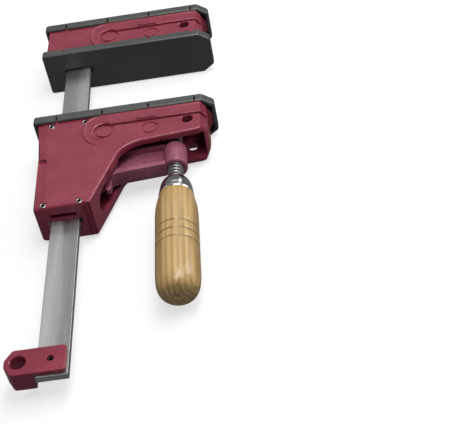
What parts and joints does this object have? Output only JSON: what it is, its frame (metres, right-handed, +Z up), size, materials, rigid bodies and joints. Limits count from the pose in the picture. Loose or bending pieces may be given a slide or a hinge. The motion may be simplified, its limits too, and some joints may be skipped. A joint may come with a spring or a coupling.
{
  "type": "parallel clamp",
  "caption": "Bar clamp with parallel padded jaws, a fixed jaw, a sliding jaw driven by a screw with a turned wooden handle, and an end stop.",
  "frame": {"origin": "middle of the underside of the whole clamp, as it lies on its side on the long edges of its jaw pads", "axes": "+Z up through the width of the jaws, +Y along the bar towards the fixed jaw, +X from the bar's rear edge towards the jaw tips"},
  "size_m": [0.1736, 0.454, 0.046],
  "materials": {
    "bar_steel": "cold drawn, brushed along its length",
    "jaw_paint": "maroon enamel on a casting, satin gloss",
    "arm_paint": "purple-maroon enamel on a casting, satin",
    "pad_plastic": "black moulded plastic, satin",
    "pin_steel": "bright spring pin steel",
    "spring_steel": "blued spring steel",
    "spindle_steel": "rolled thread, lightly oiled",
    "ferrule_chrome": "polished nickel",
    "handle_wood": "turned hardwood, clear varnish, burned rings"
  },
  "bodies": {
    "root": {"bar": "bar_steel", "fixed_jaw": "jaw_paint", "fixed_clamp_pad": "pad_plastic", "fixed_back_pad": "pad_plastic", "jaw_pin_rear": "pin_steel", "jaw_pin_front": "pin_steel", "end_stop": "jaw_paint", "stop_pin": "pin_steel"},
    "sliding_arm": {"sliding_arm": "arm_paint", "lock_pin_front": "pin_steel", "lock_pin_rear": "pin_steel", "drag_spring": "spring_steel"},
    "moving_jaw": {"jaw_housing": "jaw_paint", "moving_clamp_pad": "pad_plastic", "guide_pin_upper_rear": "pin_steel", "guide_pin_upper_front": "pin_steel", "guide_pin_lower_rear": "pin_steel", "guide_pin_lower_front": "pin_steel", "thrust_disc": "pin_steel", "spindle_clip": "spring_steel"},
    "spindle": {"spindle": "spindle_steel", "ferrule": "ferrule_chrome", "handle": "handle_wood"}
  },
  "joints": [
    {"name": "jaw_slide", "type": "slide", "parent": "root", "child": "sliding_arm", "axis": [0, 1, 0], "range_m": [-0.134, 0.085]},
    {"name": "jaw_press", "type": "slide", "parent": "sliding_arm", "child": "moving_jaw", "axis": [0, 1, 0], "range_m": [-0.006, 0.012]},
    {"name": "spindle_turn", "type": "hinge", "parent": "moving_jaw", "child": "spindle", "pos_m": [0.0471, 0, 0.023], "axis": [0, 1, 0], "range_deg": [-541, 1081]}
  ],
  "couplings": [
    {"joint": "spindle_turn", "follows": "jaw_press", "rad_per_m": 1570.8}
  ]
}
